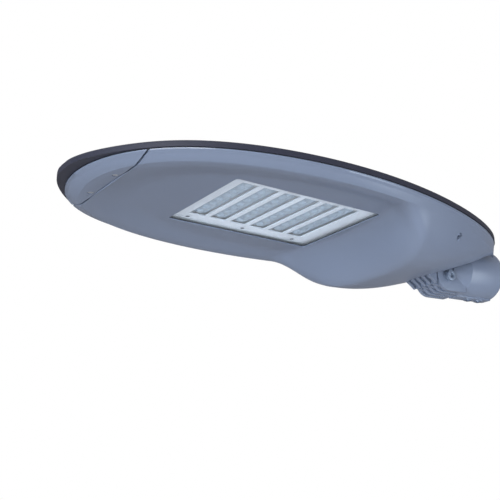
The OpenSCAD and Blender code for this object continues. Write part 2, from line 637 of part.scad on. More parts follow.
module tilt_bolt() {
    color(steel) place() difference() {
        union() {
            pin_cylinder(pin_d / 2, -outer_y - washer_t - 0.01, recess_y - 2.5);
            pin_cylinder(7.5, -outer_y - washer_t - bolt_head_h, -outer_y - washer_t);
        }
        translate([pin_x, -outer_y - washer_t - bolt_head_h - 1, pin_z]) rotate([-90, 0, 0]) cylinder(r = 4, h = 4.4, $fn = 6);
    }
}
module tilt_washers() {
    color(steel) place() both_sides() difference() {
        pin_cylinder(8.6, outer_y, outer_y + washer_t);
        pin_cylinder(pin_d / 2 + fit, outer_y - 1, outer_y + washer_t + 1);
    }
}
module tilt_nut() {
    color(steel) place() difference() {
        translate([pin_x, outer_y + washer_t, pin_z]) rotate([-90, 0, 0]) cylinder(r = 8.4, h = bolt_head_h, $fn = 6);
        pin_cylinder(pin_d / 2 + fit, outer_y, recess_y + 4);
    }
}

top_cover();
cover_seal();
housing();
nose_cap();
nose_screws();
cover_screws();
window_glass();
glass_seal();
glass_clips();
clip_screws();
slot_plate();
plate_screws();
led_board(0);  // led_board_1
led_board(1);  // led_board_2
led_board(2);  // led_board_3
led_board(3);  // led_board_4
led_board(4);  // led_board_5
led_board(5);  // led_board_6
lens_strip(0);  // lens_strip_1
lens_strip(1);  // lens_strip_2
lens_strip(2);  // lens_strip_3
lens_strip(3);  // lens_strip_4
lens_strip(4);  // lens_strip_5
lens_strip(5);  // lens_strip_6
heat_sink();
sink_screws();
gear_tray();
tray_screws();
led_driver();
driver_screws();
surge_protector();
terminal_block();
cable_gland();
gland_nut();
spigot();
tilt_bolt();
tilt_washers();
tilt_nut();
socket_screws();
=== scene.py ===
import math
import bmesh
import bpy
import numpy as np
from mathutils import Matrix, Vector


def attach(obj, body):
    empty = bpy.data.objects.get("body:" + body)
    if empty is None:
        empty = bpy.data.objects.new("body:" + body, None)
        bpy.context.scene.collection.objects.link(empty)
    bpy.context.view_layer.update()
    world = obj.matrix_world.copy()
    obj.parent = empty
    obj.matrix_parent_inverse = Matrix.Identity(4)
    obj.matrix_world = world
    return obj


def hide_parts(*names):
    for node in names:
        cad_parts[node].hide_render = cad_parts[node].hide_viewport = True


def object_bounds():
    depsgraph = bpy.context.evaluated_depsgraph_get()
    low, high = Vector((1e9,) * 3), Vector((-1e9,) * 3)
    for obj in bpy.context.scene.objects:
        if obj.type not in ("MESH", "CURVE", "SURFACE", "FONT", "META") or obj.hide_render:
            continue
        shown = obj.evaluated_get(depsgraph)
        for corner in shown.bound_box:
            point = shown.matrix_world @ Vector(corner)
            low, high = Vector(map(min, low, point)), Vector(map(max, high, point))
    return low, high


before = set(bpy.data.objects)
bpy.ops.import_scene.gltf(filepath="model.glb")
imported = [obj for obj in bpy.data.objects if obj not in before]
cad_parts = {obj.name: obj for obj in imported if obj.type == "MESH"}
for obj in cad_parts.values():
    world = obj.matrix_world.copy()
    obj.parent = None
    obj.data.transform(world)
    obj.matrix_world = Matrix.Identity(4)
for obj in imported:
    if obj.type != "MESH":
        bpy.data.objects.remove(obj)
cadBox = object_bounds()
print("frame loaded")

# Shapes are measured in millimetres from the middle of the light window, as in the CAD source;
# toFrame puts them in metres about the mouth of the socket.
layout = dict(mouthX=381.2524, mouthZ=-18.7396, pinX=284.0, pinZ=-38.0)


def toFrame(points):
    shift = np.array([layout["mouthX"], 0.0, layout["mouthZ"]])
    return (np.asarray(points, dtype=float) - shift) / 1000.0


view = dict(place=(-624.0, -872.5, -385.0), right=(0.8294, -0.5587, 0.0),
            up=(-0.1692, -0.2512, 0.9530), lens=64.80, sensor=36.0)


def addCamera():
    cam = bpy.data.objects.new("camera", bpy.data.cameras.new("camera"))
    bpy.context.scene.collection.objects.link(cam)
    right = Vector(view["right"]).normalized()
    up = Vector(view["up"]).normalized()
    back = right.cross(up).normalized()
    up = back.cross(right).normalized()
    turn = Matrix((right, up, back)).transposed().to_4x4()
    cam.matrix_world = Matrix.Translation(Vector(toFrame(view["place"]))) @ turn
    cam.data.lens = view["lens"]
    cam.data.sensor_width = view["sensor"]
    cam.data.clip_end = 50.0
    bpy.context.scene.camera = cam


addCamera()
sceneNow = bpy.context.scene
sceneNow.view_settings.view_transform = "Standard"

# places and aims in metres; edge is the strip whose mirror image is the bright line on the rim
lights = dict(
    key=dict(place=(-3.10, -1.35, -0.33), aim=(-0.30, 0.0, -0.02), size=1.5, power=118.0,
             color=(0.80, 0.915, 1.0)),
    under=dict(place=(-0.6, -0.4, -1.15), aim=(-0.35, 0.0, 0.0), size=2.2, power=0.6,
               color=(1.0, 0.98, 0.98)),
    tail=dict(place=(0.50, -1.10, -0.42), aim=(-0.02, 0.0, 0.0), size=0.9, power=12.0,
              color=(0.80, 0.915, 1.0)),
    top=dict(place=(-0.5, 0.4, 2.0), aim=(-0.4, 0.0, 0.0), size=2.0, power=30.0,
             color=(1.0, 1.0, 1.0)),
    edge=dict(place=(-1.675, -1.36, 0.85), aim=(-0.58, -0.115, 0.02), size=1.6, power=13.0,
              color=(1.0, 1.0, 1.0), height=0.2),
)
surroundings = dict(color=(0.98, 0.96, 1.0), strength=0.30, backdrop=(1.0, 1.0, 1.0))


def addLight(name, place, aim, size, power, color, height=None):
    lamp = bpy.data.lights.new(name, "AREA")
    lamp.energy = power
    lamp.shape = "RECTANGLE"
    lamp.size = size
    lamp.size_y = height or size
    lamp.color = color
    obj = bpy.data.objects.new(name, lamp)
    bpy.context.scene.collection.objects.link(obj)
    obj.location = place
    obj.rotation_euler = (Vector(aim) - Vector(place)).to_track_quat("-Z", "Y").to_euler()


for lightName, lightValues in lights.items():
    addLight(lightName, **lightValues)

world = bpy.data.worlds.new("studio")
sceneNow.world = world
world.use_nodes = True
worldNodes, worldLinks = world.node_tree.nodes, world.node_tree.links
worldNodes.clear()
worldOut = worldNodes.new("ShaderNodeOutputWorld")
ambient = worldNodes.new("ShaderNodeBackground")
ambient.inputs["Color"].default_value = (*surroundings["color"], 1)
ambient.inputs["Strength"].default_value = surroundings["strength"]
white = worldNodes.new("ShaderNodeBackground")
white.inputs["Color"].default_value = (*surroundings["backdrop"], 1)
white.inputs["Strength"].default_value = 1.0
worldMix = worldNodes.new("ShaderNodeMixShader")
rays = worldNodes.new("ShaderNodeLightPath")
worldLinks.new(rays.outputs["Is Camera Ray"], worldMix.inputs[0])
worldLinks.new(ambient.outputs[0], worldMix.inputs[1])
worldLinks.new(white.outputs[0], worldMix.inputs[2])
worldLinks.new(worldMix.outputs[0], worldOut.inputs["Surface"])


def newMaterial(name, color, roughness, metallic=0.0, **others):
    mat = bpy.data.materials.new(name)
    mat.use_nodes = True
    shader = mat.node_tree.nodes["Principled BSDF"]
    shader.inputs["Base Color"].default_value = (*color, 1)
    shader.inputs["Roughness"].default_value = roughness
    shader.inputs["Metallic"].default_value = metallic
    for socket, value in others.items():
        shader.inputs[socket.replace("_", " ")].default_value = value
    return mat, mat.node_tree.nodes, mat.node_tree.links, shader


# Grain of a coat or casting: colour = base times (1 + spread times (noise - 0.5)),
# roughness = base plus change times (noise - 0.5), and the finer noise is the bump
def buildGrainGroup():
    group = bpy.data.node_groups.new("coatGrain", "ShaderNodeTree")
    for name, kind, value in (("Color", "NodeSocketColor", (0.5, 0.5, 0.5, 1)),
                              ("Roughness", "NodeSocketFloat", 0.4),
                              ("Spread", "NodeSocketFloat", 0.08),
                              ("Change", "NodeSocketFloat", 0.10),
                              ("Grain Scale", "NodeSocketFloat", 900.0),
                              ("Cloud Scale", "NodeSocketFloat", 9.0),
                              ("Bump", "NodeSocketFloat", 0.08)):
        socket = group.interface.new_socket(name, in_out="INPUT", socket_type=kind)
        socket.default_value = value
    for name, kind in (("Color", "NodeSocketColor"), ("Roughness", "NodeSocketFloat"),
                       ("Normal", "NodeSocketVector")):
        group.interface.new_socket(name, in_out="OUTPUT", socket_type=kind)
    nodes, links = group.nodes, group.links
    start = nodes.new("NodeGroupInput")
    end = nodes.new("NodeGroupOutput")
    coord = nodes.new("ShaderNodeTexCoord")

    def noise(scaleName, detail):
        node = nodes.new("ShaderNodeTexNoise")
        node.inputs["Detail"].default_value = detail
        links.new(coord.outputs["Object"], node.inputs["Vector"])
        links.new(start.outputs[scaleName], node.inputs["Scale"])
        return node.outputs["Fac"]

    def combine(kind, a, b):
        node = nodes.new("ShaderNodeMath")
        node.operation = kind
        for i, value in enumerate((a, b)):
            if isinstance(value, (int, float)):
                node.inputs[i].default_value = value
            else:
                links.new(value, node.inputs[i])
        return node.outputs[0]

    grain = noise("Grain Scale", 2.0)
    cloud = noise("Cloud Scale", 4.0)
    both = combine("ADD", combine("MULTIPLY", grain, 0.4), combine("MULTIPLY", cloud, 0.6))
    gain = combine("ADD", 1.0, combine("MULTIPLY", start.outputs["Spread"], combine("SUBTRACT", both, 0.5)))
    scale = nodes.new("ShaderNodeVectorMath")
    scale.operation = "SCALE"
    links.new(start.outputs["Color"], scale.inputs[0])
    links.new(gain, scale.inputs["Scale"])
    rough = combine("ADD", start.outputs["Roughness"],
                  combine("MULTIPLY", start.outputs["Change"], combine("SUBTRACT", both, 0.5)))
    bump = nodes.new("ShaderNodeBump")
    bump.inputs["Distance"].default_value = 0.0006
    links.new(start.outputs["Bump"], bump.inputs["Strength"])
    links.new(grain, bump.inputs["Height"])
    links.new(scale.outputs["Vector"], end.inputs["Color"])
    links.new(rough, end.inputs["Roughness"])
    links.new(bump.outputs["Normal"], end.inputs["Normal"])
    return group


coatGrain = buildGrainGroup()


def grained(name, color, roughness, metallic=0.0, spread=0.08, change=0.1, grainScale=900.0,
            cloudScale=9.0, bump=0.08, edgeGloss=0.0, **others):
    mat, nodes, links, shader = newMaterial(name, color, roughness, metallic, **others)
    grain = nodes.new("ShaderNodeGroup")
    grain.node_tree = coatGrain
    grain.inputs["Color"].default_value = (*color, 1)
    for socket, value in (("Roughness", roughness), ("Spread", spread), ("Change", change),
                          ("Grain Scale", grainScale), ("Cloud Scale", cloudScale), ("Bump", bump)):
        grain.inputs[socket].default_value = value
    links.new(grain.outputs["Color"], shader.inputs["Base Color"])
    links.new(grain.outputs["Roughness"], shader.inputs["Roughness"])
    links.new(grain.outputs["Normal"], shader.inputs["Normal"])
    if edgeGloss:  # how much smoother the paint is where the attribute of this name is 1
        polished = nodes.new("ShaderNodeAttribute")
        polished.attribute_name = "edgeGloss"
        less = nodes.new("ShaderNodeMath")
        less.operation = "MULTIPLY_ADD"
        links.new(polished.outputs["Fac"], less.inputs[0])
        less.inputs[1].default_value = -edgeGloss
        links.new(grain.outputs["Roughness"], less.inputs[2])
        links.new(less.outputs[0], shader.inputs["Roughness"])
    return mat


finishes = dict(
    bodyPaint=grained("bodyPaint", (0.150, 0.174, 0.240), 0.33, spread=0.10, bump=0.10, edgeGloss=0.20),
    coverPaint=grained("coverPaint", (0.025, 0.025, 0.038), 0.46, spread=0.14, bump=0.10,
                       Specular_IOR_Level=0.22),
    whitePaint=grained("whitePaint", (0.67, 0.71, 0.79), 0.42, spread=0.04, bump=0.05),
    boardWhite=grained("boardWhite", (0.30, 0.34, 0.43), 0.35, spread=0.10, cloudScale=60.0, bump=0.02),
    lensClear=grained("lensClear", (0.30, 0.38, 0.48), 0.14, spread=0.16, cloudScale=90.0, bump=0.02,
                      Coat_Weight=0.4),
    sealRubber=grained("sealRubber", (0.018, 0.018, 0.022), 0.72, spread=0.2, bump=0.12),
    screwSteel=grained("screwSteel", (0.56, 0.57, 0.60), 0.30, metallic=1.0, grainScale=2500.0, bump=0.03),
    darkScrew=grained("darkScrew", (0.10, 0.12, 0.17), 0.42, metallic=0.6, grainScale=2500.0, bump=0.03),
    paintedSteel=grained("paintedSteel", (0.20, 0.235, 0.31), 0.36, metallic=0.3, grainScale=2500.0,
                         bump=0.03),
    sheetSteel=grained("sheetSteel", (0.60, 0.61, 0.63), 0.36, metallic=1.0, cloudScale=40.0, bump=0.04),
    castAluminium=grained("castAluminium", (0.62, 0.63, 0.65), 0.42, metallic=0.9, bump=0.14),
    driverCase=grained("driverCase", (0.58, 0.58, 0.56), 0.45, bump=0.06),
    blackPlastic=grained("blackPlastic", (0.03, 0.03, 0.034), 0.50, spread=0.2, bump=0.10),
    whitePlastic=grained("whitePlastic", (0.66, 0.66, 0.63), 0.45, bump=0.05),
)


finishes["windowGlass"] = newMaterial("windowGlass", (0.86, 0.90, 0.94), 0.03, Alpha=0.10)[0]

nodeFinish = dict(
    top_cover="coverPaint", cover_seal="sealRubber", housing="bodyPaint", nose_cap="bodyPaint",
    nose_screws="screwSteel", cover_screws="darkScrew", window_glass="windowGlass",
    glass_seal="sealRubber", glass_clips="sheetSteel", clip_screws="screwSteel",
    slot_plate="whitePaint", plate_screws="darkScrew", heat_sink="castAluminium",
    sink_screws="screwSteel", gear_tray="sheetSteel", tray_screws="screwSteel",
    led_driver="driverCase", driver_screws="screwSteel", surge_protector="blackPlastic",
    terminal_block="whitePlastic", cable_gland="blackPlastic", gland_nut="blackPlastic",
    spigot="bodyPaint", tilt_bolt="paintedSteel", tilt_washers="paintedSteel", tilt_nut="paintedSteel",
    socket_screws="darkScrew")
for strip in range(1, 7):
    nodeFinish["led_board_%d" % strip] = "boardWhite"
    nodeFinish["lens_strip_%d" % strip] = "lensClear"
for nodeName, finishName in nodeFinish.items():
    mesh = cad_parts[nodeName].data
    mesh.materials.clear()
    mesh.materials.append(finishes[finishName])
print("finishes placed")

# rim is the share of the flank's height that stands upright, foot the share over which it steps in
body = dict(length=646.0, width=326.0, windowFromNose=269.0, splitH=6.0, splitRise=7.4, wall=3.0,
            lipDrop=6.3, lipRise=3.2, noseInset=17.5, tailInset=1.5, bulge=0.7, seamX=-230.0, rim=0.18,
            rimFoot=0.03)
belly = dict(depth=53.0, start=112.0, run=60.0, tail=175.0, crown=30.0, acrossPower=5.5,
             fall=1.04, fallPower=1.8, least=-4.0, innerStart=130.0)
edgeRoll = dict(stretch=1.03, start=0.74, run=0.23)  # shares of the way from the middle to the edge
halfLen = body["length"] / 2
midX = halfLen - body["windowFromNose"]


def cosD(a):
    return np.cos(np.radians(a))


def sinD(a):
    return np.sin(np.radians(a))


# half width = w/2.046 sin a (1 + 0.223 cos a + 0.06 cos^3 a + 0.085 cos^4 a), a = 0 at the nose
def halfWidth(a):
    c = cosD(a)
    return body["width"] / 2.046 * sinD(a) * (1 + 0.223 * c + 0.06 * c ** 3 + 0.085 * c ** 4)


# a point of the outline moved inward by d along the outline's normal
def inset(a, d):
    slope = (halfWidth(a + 0.5) - halfWidth(a - 0.5)) * 180 / math.pi
    run = halfLen * sinD(a)
    size = np.hypot(run, slope)
    return midX - halfLen * cosD(a) + d * slope / size, halfWidth(a) - d * run / size


def along(x):
    return (x - midX) / halfLen


def rimZ(x):
    return body["splitH"] + body["splitRise"] * along(x)


def lipZ(x):
    return -body["lipDrop"] + body["lipRise"] * along(x)


def lipInset(a):
    low, high = body["tailInset"], body["noseInset"]
    return (high + low) / 2 + (high - low) / 2 * cosD(a)


def ease(u):
    w = np.clip(u, 0, 1)
    return w * w * (3 - 2 * w)


# drop of the gear compartment: an S over the front slope, then a power curve down to the tail
def bellyDrop(x, v):
    crest = belly["start"] + belly["run"] - belly["crown"] * v * v
    back = np.maximum(0, x - belly["start"] - belly["run"])
    lengthwise = 1 - belly["fall"] * (back / belly["tail"]) ** belly["fallPower"]
    return (ease((x - crest) / belly["run"] + 1) * (1 - np.abs(v) ** belly["acrossPower"])
            * np.maximum(belly["least"], belly["depth"] * lengthwise))


def edgeZ(x, v):
    t = np.minimum(1, np.abs(along(x)) * edgeRoll["stretch"])
    reach = np.sqrt(t * t + v * v * (1 - t * t))
    return lipZ(x) * ease((reach - edgeRoll["start"]) / edgeRoll["run"])


def underZ(x, v):
    return edgeZ(x, v) - bellyDrop(x, v)


def innerZ(x, v):
    return np.where(x < belly["innerStart"], edgeZ(x, v), underZ(x, v)) + body["wall"]


# flank: a parabola through the split line, the bulge and the lower edge, k from 0 to 1; the outer
# skin drops straight down under the split line first, as a narrow rim, and then steps in
def flankPoints(a, k, t):
    rx, ry = inset(a, t)
    mx, my = inset(a, lipInset(a) * 0.5 + t)
    ex, ey = inset(a, lipInset(a) + t)
    rz, ez = rimZ(rx), lipZ(ex) + t
    mz = (rimZ(mx) + lipZ(mx) + t) / 2 - body["bulge"]
    out = []
    for p0, p1, p2 in ((rx, mx, ex), (ry, my, ey), (rz, mz, ez)):
        out.append(p0 * (1 - k) * (1 - 2 * k) + 4 * p1 * k * (1 - k) + p2 * k * (2 * k - 1))
    if t == 0:
        rim = np.clip((body["rim"] + body["rimFoot"] - k) / body["rimFoot"], 0, 1)
        out[0] = out[0] + (rx - out[0]) * rim
        out[1] = out[1] + (ry - out[1]) * rim
    return np.stack(out, -1)


# underside: at the lower edge's x, from v = 1 to v = -1 across
def floorPoints(a, v, t):
    ex, ey = inset(a, lipInset(a) + t)
    ex = ex + 0 * v
    z = innerZ(ex, v) if t > 0 else underZ(ex, v)
    return np.stack([ex, v * ey, z], -1)


# s runs 0 to 1 down the flank, 1 to 3 across the floor, 3 to 4 up the other flank
def sectionPoint(a, s, t):
    flankK = np.where(s <= 1, s, np.where(s >= 3, 4 - s, 0.0))
    flank = flankPoints(a, flankK, t)
    flank[..., 1] *= np.where(s >= 3, -1, 1)
    floor = floorPoints(a, np.clip(2 - s, -1, 1), t)
    onFlank = ((s < 1) | (s > 3))[..., None]
    return np.where(onFlank, flank, floor)


# angle at which a section's point s reaches the plane x, found by halving
def angleAt(x, s, t):
    low, high = np.full(s.shape, 0.5), np.full(s.shape, 179.0)
    for _ in range(40):
        mid = (low + high) / 2
        left = sectionPoint(mid, s, t)[..., 0] < x
        low, high = np.where(left, mid, low), np.where(left, high, mid)
    return (low + high) / 2


def skin(s, stations, t, startX=None, endX=None, first=1.0, last=179.0):
    s = np.asarray(s, dtype=float)
    a0 = angleAt(startX, s, t) if startX is not None else np.full(s.shape, first)
    a1 = angleAt(endX, s, t) if endX is not None else np.full(s.shape, last)
    u = np.asarray(stations)[:, None]
    a = a0[None, :] + (a1 - a0)[None, :] * u
    return sectionPoint(a, np.broadcast_to(s, a.shape), t)


def meshObject(name, verts, faces, finish):
    mesh = bpy.data.meshes.new(name)
    mesh.from_pydata(np.asarray(verts).tolist(), [], faces)
    mesh.validate()
    mesh.update()
    mesh.materials.append(finishes[finish])
    obj = bpy.data.objects.new(name, mesh)
    bpy.context.scene.collection.objects.link(obj)
    return obj


def quads(n, m, base=0, flip=False):
    i, j = np.meshgrid(np.arange(n - 1), np.arange(m - 1), indexing="ij")
    a = (i * m + j + base).ravel()
    corners = [a, a + 1, a + m + 1, a + m]
    return np.stack(corners if not flip else corners[::-1], -1)


# ladder of quads that closes a section's end from flank to flank, k points from start on
def ladder(start, k):
    rungs = []
    for j in range((k - 1) // 2):
        low, high = start + k - 2 - j, start + k - 1 - j
        middle = [start + j + 1] if low > start + j + 1 else []
        rungs.append([start + j] + middle + [low, high])
    return rungs


# closed shell from two skins that share their stations; an end that is open has only its wall's edge
def shellMesh(outer, inner, openEnd=False):
    n, ko, ki = outer.shape[0], outer.shape[1], inner.shape[1]
    base = n * ko
    i = np.arange(n - 1)
    o, c = i * ko, base + i * ki
    sideA = np.stack([o, o + ko, c + ki, c], -1)
    sideB = np.stack([o + ko - 1, c + ki - 1, c + 2 * ki - 1, o + 2 * ko - 1], -1)
    faces = sum([f.tolist() for f in (quads(n, ko), quads(n, ki, base, True), sideA, sideB)], [])
    for row in (0, n - 1):
        o, c = row * ko, base + row * ki
        if openEnd and row:
            faces += [[o + j, o + j + 1, c + j + 1, c + j] for j in range(ko - 1)]
        else:
            faces += ladder(o, ko) + ladder(c, ki) + [[o, c, c + ki - 1, o + ko - 1]]
    return np.concatenate([outer.reshape(-1, 3), inner.reshape(-1, 3)]), faces


# the flank's steps are close together at the foot of the rim
flankSteps = np.concatenate([[0, 0.06, 0.12, 0.18, 0.195, 0.21, 0.25], np.linspace(0.32, 1, 8)])
floorSteps = np.linspace(1, 3, 121)
sectionSteps = np.concatenate([flankSteps[:-1], floorSteps, 3 + flankSteps[1:]])


def cutter(name, verts, faces):
    mesh = bpy.data.meshes.new(name)
    mesh.from_pydata(verts, [], faces)
    mesh.update()
    obj = bpy.data.objects.new(name, mesh)
    bpy.context.scene.collection.objects.link(obj)
    return obj


# prism: a closed outline carried from one height to another along an axis (0, 1 or 2)
def prism(outline, low, high, axis=2):
    n = len(outline)
    rest = [k for k in range(3) if k != axis]
    verts = np.zeros((2 * n, 3))
    verts[:n, rest] = outline
    verts[n:, rest] = outline
    verts[:n, axis] = low
    verts[n:, axis] = high
    sides = [(i, (i + 1) % n, n + (i + 1) % n, n + i) for i in range(n)]
    return verts, [tuple(range(n - 1, -1, -1)), tuple(range(n, 2 * n))] + sides


def roundedOutline(l, w, r, steps=8):
    points = []
    for q, (sx, sy) in enumerate(((1, 1), (-1, 1), (-1, -1), (1, -1))):
        for b in np.linspace(q * 90, q * 90 + 90, steps):
            points.append((sx * (l / 2 - r) + r * cosD(b), sy * (w / 2 - r) + r * sinD(b)))
    return np.array(points)


def circleOutline(cx, cy, r, steps=48):
    b = np.linspace(0, 360, steps, endpoint=False)
    return np.stack([cx + r * cosD(b), cy + r * sinD(b)], -1)


def cutAway(obj, shapes, name):
    tool = cutter(name, *joinShapes(shapes))
    recalc(tool)
    cut = obj.modifiers.new("cut", "BOOLEAN")
    cut.operation = "DIFFERENCE"
    cut.solver = "EXACT"
    cut.use_self = True
    cut.object = tool
    applyModifiers(obj)
    bpy.data.objects.remove(tool)


def recalc(obj):
    bm = bmesh.new()
    bm.from_mesh(obj.data)
    bmesh.ops.recalc_face_normals(bm, faces=bm.faces)
    bm.to_mesh(obj.data)
    bm.free()


def applyModifiers(obj):
    graph = bpy.context.evaluated_depsgraph_get()
    mesh = bpy.data.meshes.new_from_object(obj.evaluated_get(graph))
    old = obj.data
    obj.modifiers.clear()
    obj.data = mesh
    bpy.data.meshes.remove(old)


# slot in the tail for the spigot, with the fairing (chin) before it and the joint's lugs
slot = dict(x=260.0, step=290.0, hub=22.9, half=40.0, roof=18.0, roofT=2.0, end=347.0, side=4.0,
            chinX=244.0, chinZ=-51.5, chinLow=3.6, chinRun=7.0, finDepth=6.0, fins=(0.0, 10.0, 20.6),
            lugs=(5.0, 15.0), lugHalf=2.3, lugR=17.0, lugEnd=-103.6, recess=10.5, recessY=34.1, pin=5.05,
            gland=8.05, glandDown=10.0, past=450.0, below=-95.0)
window = dict(l=216.0, w=161.0, r=4.0, lip=1.6, glassL=249.0, glassW=194.0, glassR=6.0, curb=4.0,
              curbR=8.0, curbLow=2.0, curbTop=5.6)
# posts and screw places: x, y and top, gear with two x values; into is how deep a post stands in the
# casting's wall, headDeep how far the rear screws' heads sink in
posts = dict(sink=(135.0, 66.0, 12.0), clip=(80.0, 105.5, 5.6), gear=(150.0, 240.0, 62.0, -14.0),
             rear=(213.885, 110.84), nose=(-236.0, 31.948), front=(-241.0, 58.028), r=5.0, rearR=7.0,
             into=0.6, headDeep=4.0)
holes = dict(coverScrew=2.3, coverHead=4.1, noseScrew=1.55, noseHead=3.6)
# the housing's lugs for the nose screws (inner) and the front cover screws (outer): x, y0, y1, height
noseLugs = dict(end=-225.0, inner=(-242.0, 24.0, 40.0, 5.0), outer=(-250.0, 49.0, 67.0, 3.0),
                gap=0.5, sunk=0.4)


def floorAt(x, y):
    a = np.degrees(np.arccos(np.clip(-along(np.asarray(x, dtype=float)), -0.999, 0.999)))
    return underZ(x, y / (halfWidth(a) - lipInset(a)))


def block(x0, x1, y0, y1, z0, z1):
    return prism(np.array([(x0, y0), (x1, y0), (x1, y1), (x0, y1)]), z0, z1)


# upright wall along the body whose foot follows the floor
def sideWall(y0, y1, x0, x1):
    x = np.linspace(x0, x1, 40)
    foot = np.minimum(rimZ(x), floorAt(x, (y0 + y1) / 2)) + 1
    top = slot["roof"] + slot["roofT"]
    return prism(np.array([(x1, top), (x0, top)] + list(zip(x, foot))), y0, y1, 1)


# upright wall across the body whose foot follows the floor
def crossWall(x, y0, y1):
    y = np.linspace(y0, y1, 24)
    top = slot["roof"] + slot["roofT"]
    outline = np.array([(y1, top), (y0, top)] + list(zip(y, floorAt(x, y) + 1)))
    return prism(outline, x, x + body["wall"], 0)


# lug: round about the pin, with a flat top and a sloping front that run to the slot's front wall
def lugOutline():
    b = np.radians(np.linspace(90, slot["lugEnd"], 40))
    r = slot["lugR"]
    arc = np.stack([layout["pinX"] + r * np.cos(b), layout["pinZ"] + r * np.sin(b)], -1)
    foot = [(slot["x"] - 1, slot["chinZ"]), (slot["x"] - 1, layout["pinZ"] + r)]
    return np.concatenate([arc, foot])


def post(x, y, r, top):
    low = float(max(floorAt(x + dx, y + dy) for dx in (-r, r) for dy in (-r, 0, r)))
    return prism(circleOutline(x, y, r, 32), low + posts["into"], top)


def bothSides(shape):
    verts, faces = shape
    return [shape, (verts * [1, -1, 1], [f[::-1] for f in faces])]


def joinShapes(shapes):
    verts, faces = [], []
    for v, f in shapes:
        faces += [tuple(i + len(verts) for i in face) for face in f]
        verts += toFrame(v).tolist()
    return verts, faces


def holeDown(x, y, r, low, high):
    return prism(circleOutline(x, y, r, 40), low, high)


# section of the fairing before the slot, its skin moved in by depth; fins reach further down in front
def chinOutline(depth, inFront):
    top = float(floorAt(slot["x"], 0.0)) + body["wall"]
    front = float(floorAt(slot["chinX"], 0.0))
    foreX = slot["chinX"] + depth
    return np.array([(slot["x"], slot["chinZ"] + depth), (slot["x"], top), (foreX, front + body["wall"]),
                     (foreX, front + 0.5)] + [(foreX + dx, front - dz) for dx, dz in inFront])


# the casting's own walls, lugs and posts, which stand in the shell
def castingWalls():
    wall, hub, half = body["wall"], slot["hub"], slot["half"]
    curbL, curbW = (window[name] + 2 * window["curb"] for name in ("glassL", "glassW"))
    shapes = [crossWall(slot["x"] - wall, -hub - slot["side"], hub + slot["side"]),
              block(slot["x"] - wall, slot["end"], -half - wall, half + wall, slot["roof"],
                    slot["roof"] + slot["roofT"]),
              prism(chinOutline(slot["finDepth"], []), -hub, hub, 1)]
    fin = chinOutline(0.0, [(slot["chinRun"], slot["chinLow"])])
    for y in sorted({side * y for y in slot["fins"] for side in (-1, 1)}):
        shapes.append(prism(fin, y - slot["lugHalf"], y + slot["lugHalf"], 1))
    shapes.append(prism(roundedOutline(curbL, curbW, window["curbR"]), window["curbLow"],
                        window["curbTop"]))
    sided = [sideWall(hub, hub + slot["side"], slot["x"] - wall, slot["step"]),
             sideWall(half, half + wall, slot["step"] - wall, slot["end"]),
             crossWall(slot["step"] - wall, hub, half + wall),
             post(*posts["rear"], posts["rearR"], float(rimZ(posts["rear"][0])) - 1)]
    sided += [prism(lugOutline(), y - slot["lugHalf"], y + slot["lugHalf"], 1) for y in slot["lugs"]]
    sinkX, sinkY, sinkTop = posts["sink"]
    clipX, clipY, clipTop = posts["clip"]
    gearX0, gearX1, gearY, gearTop = posts["gear"]
    places = ([(x, sinkY, sinkTop) for x in (-sinkX, sinkX)]
              + [(x, clipY, clipTop) for x in (-clipX, 0.0, clipX)]
              + [(x, gearY, gearTop) for x in (gearX0, gearX1)])
    sided += [post(x, y, posts["r"], top) for x, y, top in places]
    feet = (float(floorAt(*posts["nose"])) + wall + noseLugs["gap"],
            float(rimZ(body["seamX"])) - noseLugs["sunk"])
    for (x, y0, y1, height), foot in zip((noseLugs["inner"], noseLugs["outer"]), feet):
        sided.append(block(x, noseLugs["end"], y0, y1, foot, foot + height))
    return shapes + sum([bothSides(shape) for shape in sided], [])


rearHead = float(floorAt(*posts["rear"])) + posts["headDeep"]
pinPlace = (layout["pinX"], layout["pinZ"])
wallHoles = [
    prism(circleOutline(*pinPlace, slot["pin"]), -slot["recessY"], slot["recessY"], 1),
    prism(circleOutline(0.0, slot["roof"] - slot["glandDown"], slot["gland"]),
          slot["x"] - 6, slot["x"] + 3, 0),
    prism(roundedOutline(window["glassL"], window["glassW"], window["glassR"]), window["lip"], 40)]
sidedHoles = [
    prism(circleOutline(*pinPlace, slot["recess"]), slot["hub"] - 0.5, slot["recessY"], 1),
    holeDown(*posts["rear"], holes["coverHead"], -60, rearHead),
    holeDown(*posts["rear"], holes["coverScrew"], rearHead - 1, 40),
    holeDown(*posts["front"], holes["coverScrew"], -20, 40)]
wallHoles += sum([bothSides(shape) for shape in sidedHoles], [])
slotSide = [(slot["x"], slot["hub"]), (slot["step"], slot["hub"]), (slot["step"], slot["half"]),
            (slot["past"], slot["half"])]
slotPlan = np.array([(x, -y) for x, y in slotSide] + slotSide[::-1])
shellHoles = wallHoles + [prism(roundedOutline(window["l"], window["w"], window["r"]), -20, 60),
                          prism(slotPlan, slot["below"], slot["roof"])]


# width in millimetres, and angle the least turn of an edge that gets it
def softEdges(obj, width, segments, angle):
    bevel = obj.modifiers.new("softEdges", "BEVEL")
    bevel.width = width / 1000
    bevel.segments = segments
    bevel.limit_method = "ANGLE"
    bevel.angle_limit = math.radians(angle)
    bevel.miter_outer = "MITER_ARC"
    applyModifiers(obj)


def smoothShade(obj, angle=38.0):
    obj.data.shade_smooth()
    obj.data.set_sharp_from_angle(angle=math.radians(angle))


# gaps in mm on each side of the seam; s is 2 under the middle and 1 or 3 at the lower edges
seam = dict(closed=0.25, open=0.95, start=0.45, run=0.5, behind=7.0, stations=230, capStations=60,
            nearRim=0.06)


